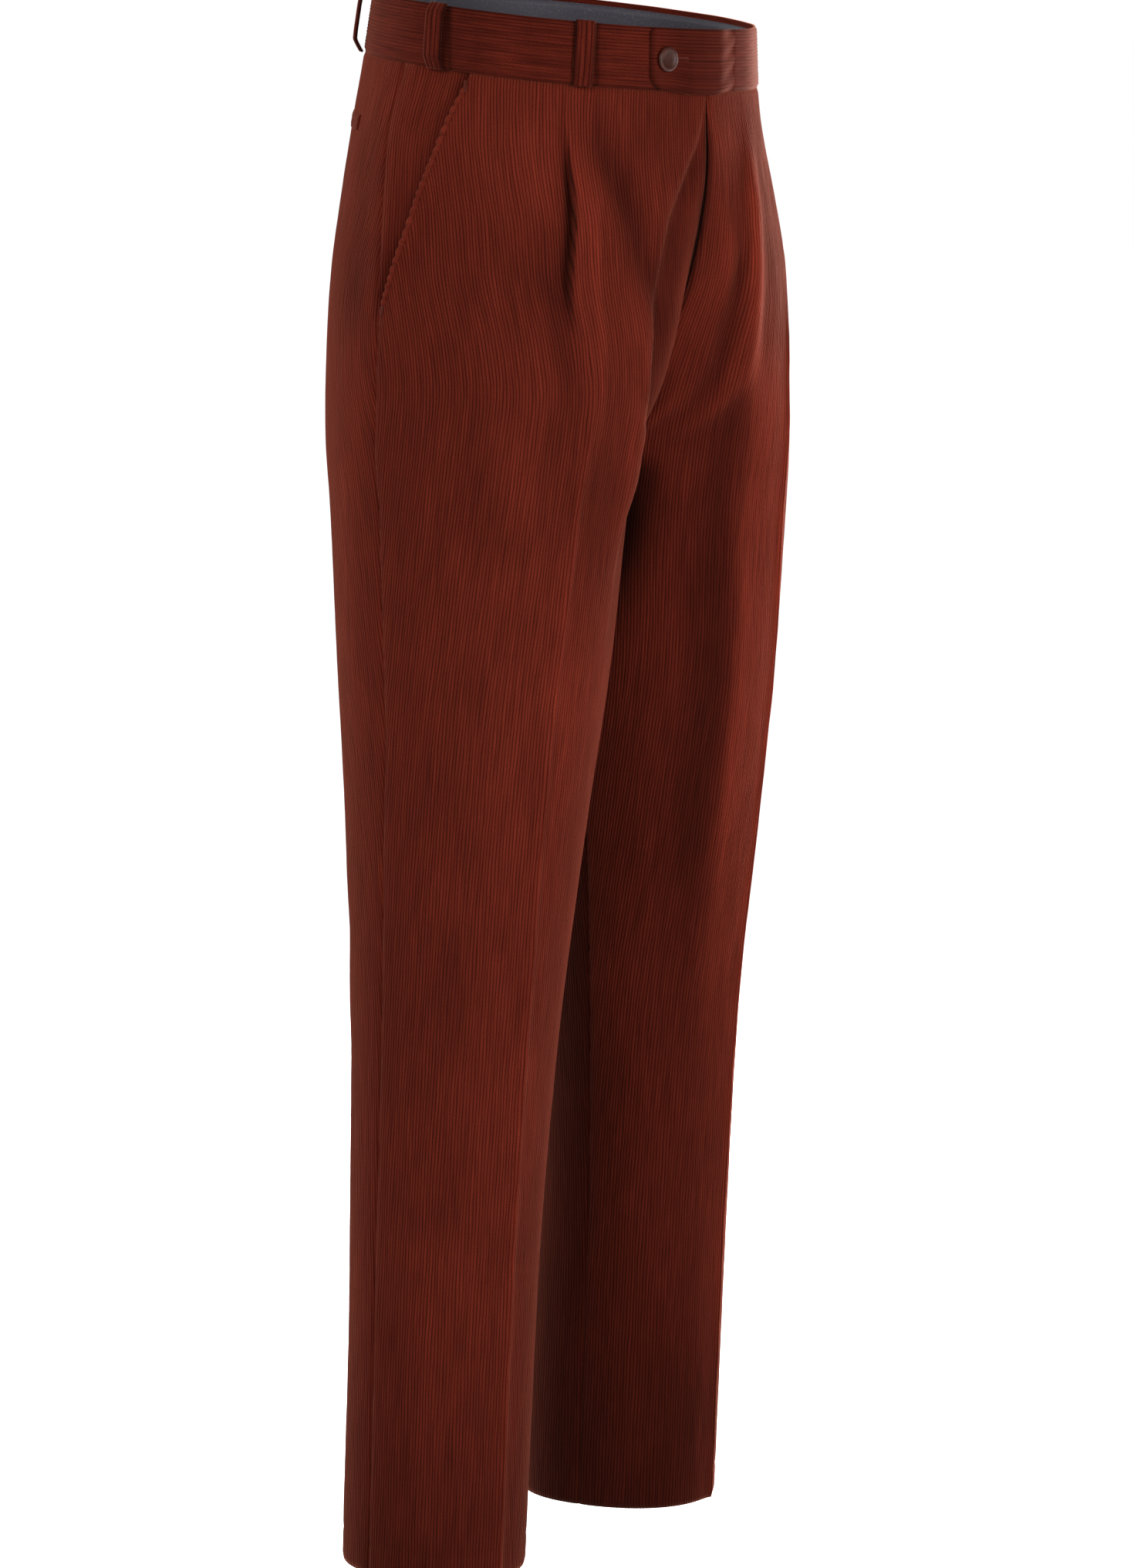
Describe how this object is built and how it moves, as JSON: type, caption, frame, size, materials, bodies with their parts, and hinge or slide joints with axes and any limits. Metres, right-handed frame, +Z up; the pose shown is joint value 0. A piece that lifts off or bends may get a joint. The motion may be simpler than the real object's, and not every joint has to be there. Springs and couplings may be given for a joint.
{
  "type": "trousers",
  "caption": "Pleated corduroy trousers with a pressed crease down each leg, slanted side pockets, a buttoned waistband tab and belt loops, held open at the waist as when worn.",
  "frame": {"origin": "middle of the waist, at the height where the waistband's top edge crosses the side", "axes": "+Z up, -Y the front of the trousers, +X the wearer's left"},
  "size_m": [0.3748, 0.2493, 1.0742],
  "materials": {
    "corduroy": "rust-brown corduroy",
    "corduroy_inside": "rust-brown corduroy, shaded",
    "lining_twill": "navy twill",
    "zip_tape": "brown woven zip tape",
    "button": "polished dark brown"
  },
  "bodies": {
    "root": {"front_right": "corduroy", "back_right": "corduroy", "pocket_side_right": "corduroy", "back_pocket_welt_right": "corduroy", "waistband_lining_right": "lining_twill", "belt_loop_front_right": "corduroy", "belt_loop_side_right": "corduroy", "belt_loop_back_right": "corduroy", "front_left": "corduroy", "back_left": "corduroy", "pocket_side_left": "corduroy", "back_pocket_welt_left": "corduroy", "waistband_lining_left": "lining_twill", "belt_loop_front_left": "corduroy", "belt_loop_side_left": "corduroy", "belt_loop_back_left": "corduroy", "belt_loop_middle_back": "corduroy", "waistband_right": "corduroy", "waistband_left": "corduroy", "waistband_tab": "corduroy", "zip_strip": "zip_tape", "fly_shield": "corduroy_inside", "button": "button"}
  },
  "joints": []
}
